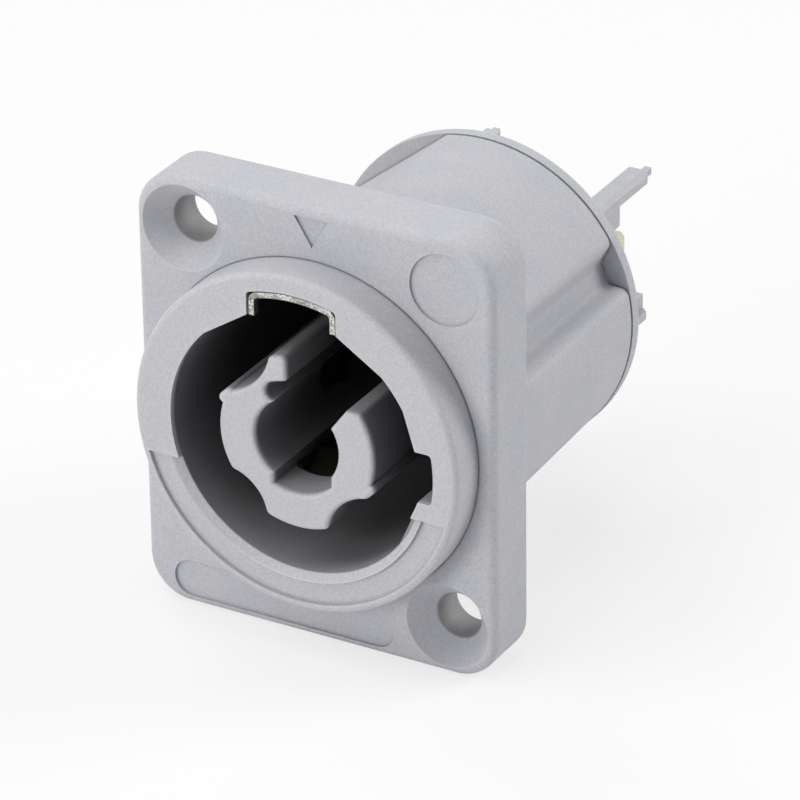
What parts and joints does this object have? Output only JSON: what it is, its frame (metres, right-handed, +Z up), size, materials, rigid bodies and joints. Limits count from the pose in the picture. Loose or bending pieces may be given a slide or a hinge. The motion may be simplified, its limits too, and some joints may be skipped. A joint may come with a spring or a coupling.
{
  "type": "chassis power connector",
  "caption": "Panel-mount power inlet: square flange with a round locking socket, keyed C-shaped contact core, latch slot and rear blade terminals.",
  "frame": {"origin": "on the mating axis, in the plane of the flange's rear face, where it meets the panel", "axes": "+X right seen from the front, +Y from the socket's mouth into the equipment, +Z up, towards the latch slot"},
  "size_m": [0.026, 0.0371, 0.031],
  "materials": {
    "housing_plastic": "fine spark-eroded moulding grain, cool light grey",
    "insert_plastic": "fine moulding grain, cool light grey",
    "plate_steel": "sheared and bent bright sheet steel",
    "contact_brass": "stamped brass strip, lightly plated"
  },
  "bodies": {
    "root": {"housing": "housing_plastic", "contact_insert": "insert_plastic", "locking_plate": "plate_steel", "line_contact": "contact_brass", "neutral_contact": "contact_brass", "earth_contact": "contact_brass"}
  },
  "joints": []
}
